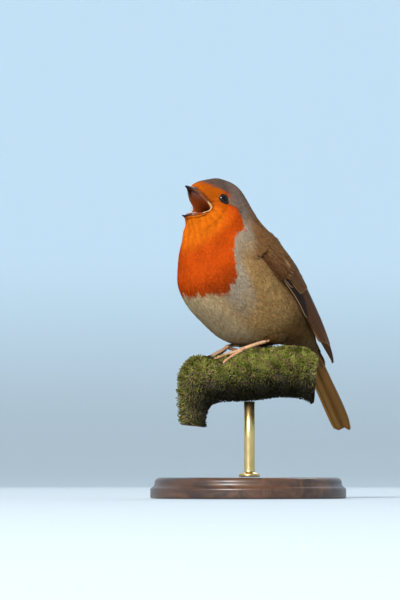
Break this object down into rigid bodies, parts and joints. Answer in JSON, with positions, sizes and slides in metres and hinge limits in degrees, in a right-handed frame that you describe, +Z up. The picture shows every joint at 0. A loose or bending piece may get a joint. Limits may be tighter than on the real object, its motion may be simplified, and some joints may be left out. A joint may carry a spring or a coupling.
{
  "type": "european robin singing on a perch",
  "caption": "Life-size still model of a European robin singing on a cut length of mossy branch, held by a round wooden base and a brass rod.",
  "frame": {"origin": "centre of the underside of the round base, on the floor", "axes": "+Z up; the bird's body faces -Y; its left side is at +X"},
  "size_m": [0.086, 0.0986, 0.1396],
  "materials": {
    "orange_plumage": "soft matt feathers, orange",
    "brown_plumage": "close feathers with a faint silky sheen, olive brown",
    "pale_plumage": "soft matt feathers, grey to buff and white",
    "dark_horn": "satin horn, nearly black",
    "eye": "wet gloss, black brown",
    "mouth": "moist lining, orange to dark red",
    "leg": "thin scaled skin, satin, yellowish brown",
    "moss": "bark under short green moss, matt",
    "dark_wood": "oiled dark hardwood, satin",
    "brass": "brushed brass, satin"
  },
  "bodies": {
    "root": {"head": "orange_plumage", "neck": "orange_plumage", "trunk": "pale_plumage", "tail": "brown_plumage", "bill_upper": "dark_horn", "bill_lower": "dark_horn", "tongue": "mouth", "eye_left": "eye", "wing_left": "brown_plumage", "thigh_left": "pale_plumage", "tarsus_left": "leg", "toe_left_1": "leg", "claw_left_1": "dark_horn", "toe_left_2": "leg", "claw_left_2": "dark_horn", "toe_left_3": "leg", "claw_left_3": "dark_horn", "toe_left_4": "leg", "claw_left_4": "dark_horn", "eye_right": "eye", "wing_right": "brown_plumage", "thigh_right": "pale_plumage", "tarsus_right": "leg", "toe_right_1": "leg", "claw_right_1": "dark_horn", "toe_right_2": "leg", "claw_right_2": "dark_horn", "toe_right_3": "leg", "claw_right_3": "dark_horn", "toe_right_4": "leg", "claw_right_4": "dark_horn", "perch_branch": "moss", "stand_base": "dark_wood", "stand_rod": "brass"}
  },
  "joints": []
}
